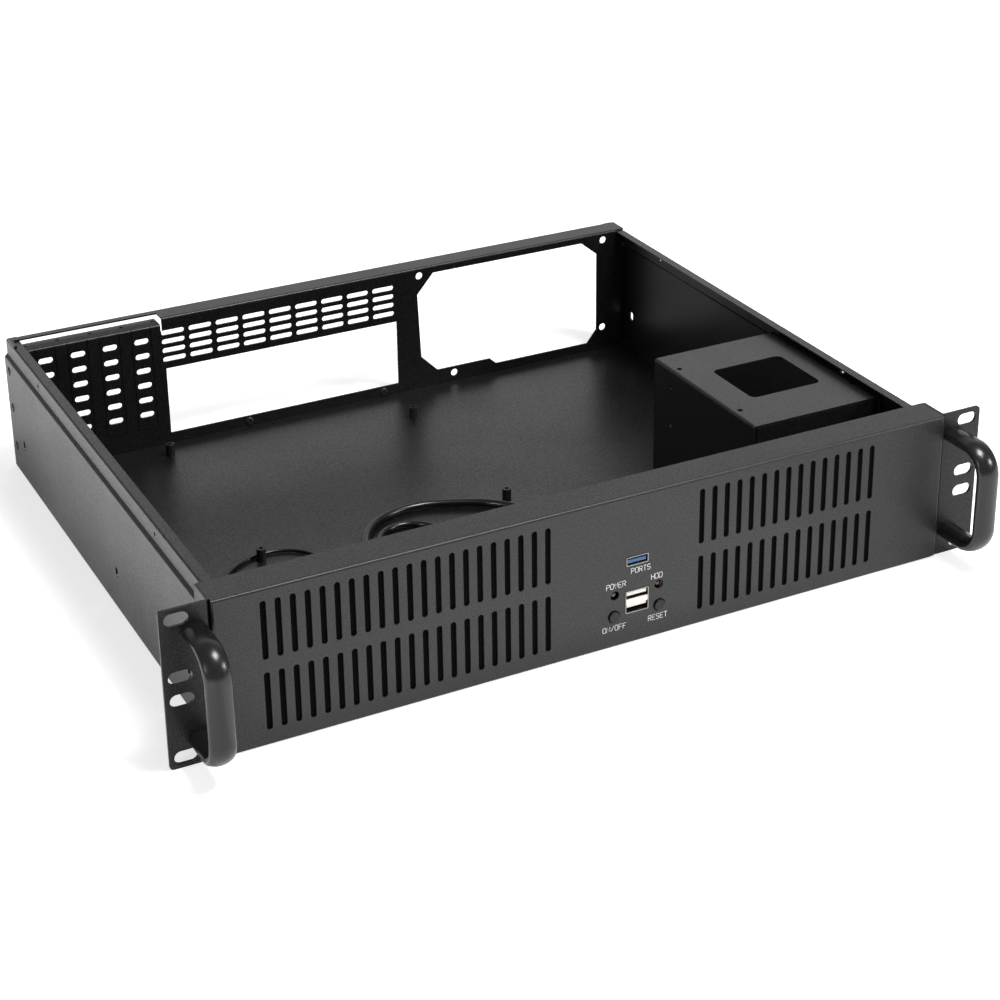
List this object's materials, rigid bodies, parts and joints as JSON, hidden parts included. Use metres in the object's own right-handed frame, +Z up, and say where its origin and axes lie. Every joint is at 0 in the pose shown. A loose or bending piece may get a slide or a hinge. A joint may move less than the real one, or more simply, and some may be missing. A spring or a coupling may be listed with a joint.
{
  "type": "empty rackmount server case",
  "caption": "Low open-topped black steel rack case with slotted front bezel, slotted ears with carrying handles, punched rear panel and an inner drive cage.",
  "frame": {"origin": "on the floor, under the middle of the case's overall length and width", "axes": "+X to the right as seen from the front, +Y to the back of the case, +Z up"},
  "size_m": [0.4826, 0.399, 0.0881],
  "materials": {
    "black_powder_coat": "fine-textured matt black powder coat",
    "handle_paint": "satin black paint on die-cast metal",
    "dark_fasteners": "black oxide and paint",
    "standoff_steel": "black painted steel with a bare tapped bore",
    "board_laminate": "dark solder mask",
    "port_steel": "bright tin-plated steel",
    "blue_plastic": "moulded blue insulator",
    "cream_plastic": "moulded pale insulator",
    "button_plastic": "moulded black plastic",
    "clear_lamp": "smoky clear resin",
    "red_lamp": "dark red resin",
    "cable_jacket": "glossy black flexible jacket",
    "plug_plastic": "moulded black plastic",
    "filter_foam": "black open-cell filter foam"
  },
  "bodies": {
    "case": {"chassis_tray": "black_powder_coat", "rear_panel": "black_powder_coat", "front_bezel": "black_powder_coat", "left_ear": "black_powder_coat", "right_ear": "black_powder_coat", "drive_cage": "black_powder_coat", "left_handle": "handle_paint", "right_handle": "handle_paint", "rear_panel_rivets": "dark_fasteners", "cage_rivets": "dark_fasteners", "ear_screws": "dark_fasteners", "handle_screws": "dark_fasteners", "board_screws": "dark_fasteners", "motherboard_standoffs": "standoff_steel", "board_spacers": "standoff_steel", "front_board": "board_laminate", "upper_port_shell": "port_steel", "lower_port_shell": "port_steel", "upper_port_core": "blue_plastic", "lower_port_core": "cream_plastic", "power_switch": "button_plastic", "reset_switch": "button_plastic", "power_lamp": "clear_lamp", "drive_lamp": "red_lamp", "lamp_spacers": "button_plastic", "board_plugs": "plug_plastic", "upper_port_cable": "cable_jacket", "lower_port_cable": "cable_jacket", "switch_leads": "cable_jacket", "upper_port_plug": "plug_plastic", "lower_port_plug": "plug_plastic", "switch_leads_plug": "plug_plastic", "left_vent_filter": "filter_foam", "right_vent_filter": "filter_foam"},
    "power_cap": {"power_button": "button_plastic"},
    "reset_cap": {"reset_button": "button_plastic"}
  },
  "joints": [
    {"name": "power_button_press", "type": "slide", "parent": "case", "child": "power_cap", "axis": [0, 1, 0], "range_m": [0, 0.0015], "stiffness_N_per_m": 400, "springref_m": -0.0015},
    {"name": "reset_button_press", "type": "slide", "parent": "case", "child": "reset_cap", "axis": [0, 1, 0], "range_m": [0, 0.0015], "stiffness_N_per_m": 400, "springref_m": -0.0015}
  ]
}
